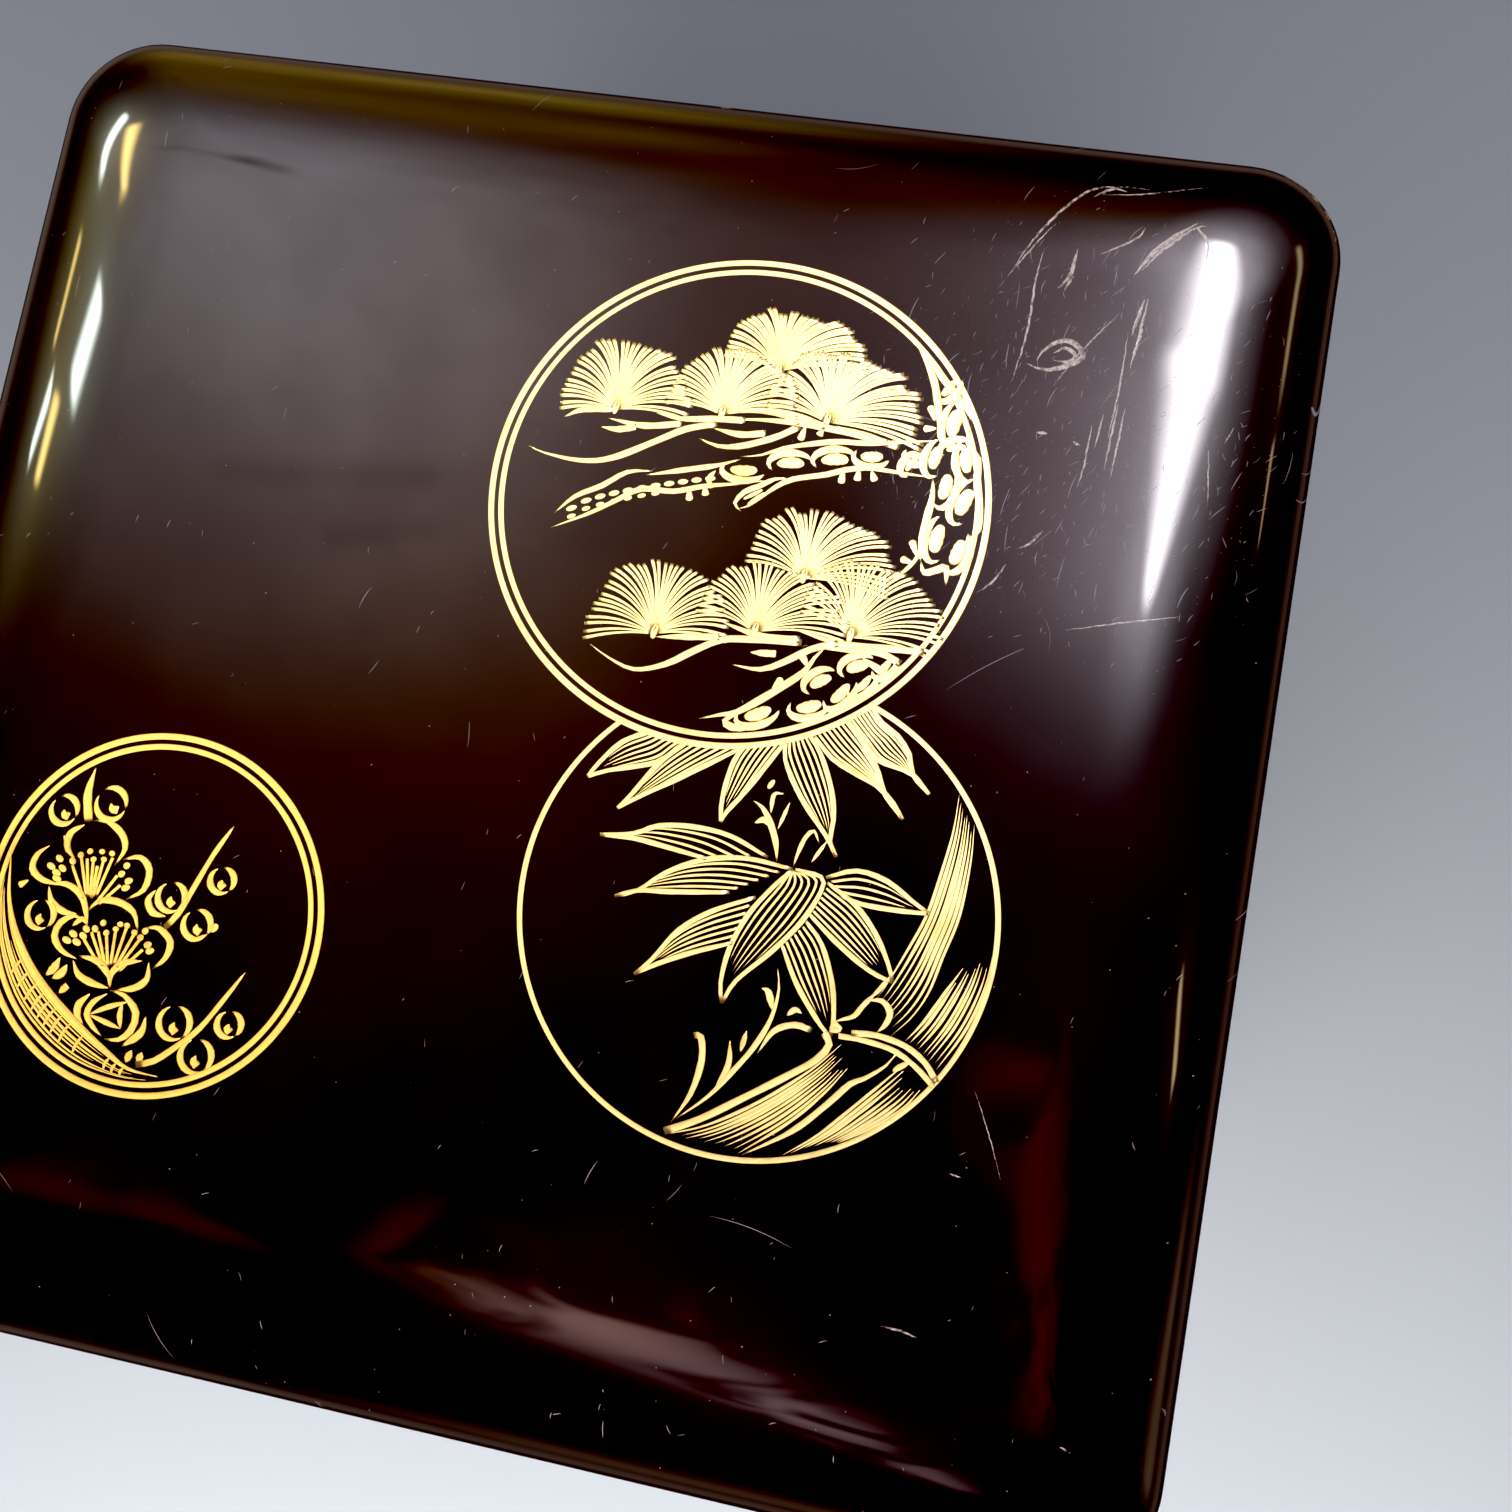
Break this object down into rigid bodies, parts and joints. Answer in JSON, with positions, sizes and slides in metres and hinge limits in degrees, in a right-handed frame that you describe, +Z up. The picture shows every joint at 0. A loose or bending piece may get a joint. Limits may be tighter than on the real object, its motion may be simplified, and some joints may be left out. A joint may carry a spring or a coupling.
{
  "type": "tiered food box",
  "caption": "Square stacking food box of lacquered wood: tiers with inset feet, and a lift-off lid with rounded shoulders, a soft crown and gold-lined roundels.",
  "frame": {"origin": "centre of the square footprint, on the surface that the lowest tier's foot stands on", "axes": "+Z up through the stack, the symmetry axis of the square plan; +X and +Y square to the sides, +Y towards the side that is at the top of the picture"},
  "size_m": [0.195, 0.195, 0.1904],
  "materials": {
    "dark_lacquer": "deep brown-black lacquer over wood, high gloss, with fine scratches",
    "red_lacquer": "vermilion lacquer over wood, satin, on the insides",
    "gold_lines": "gold leaf rubbed into engraved lines"
  },
  "bodies": {
    "root": {"lid": "dark_lacquer", "upper_tier": "dark_lacquer", "middle_tier": "dark_lacquer", "lower_tier": "dark_lacquer"}
  },
  "joints": []
}
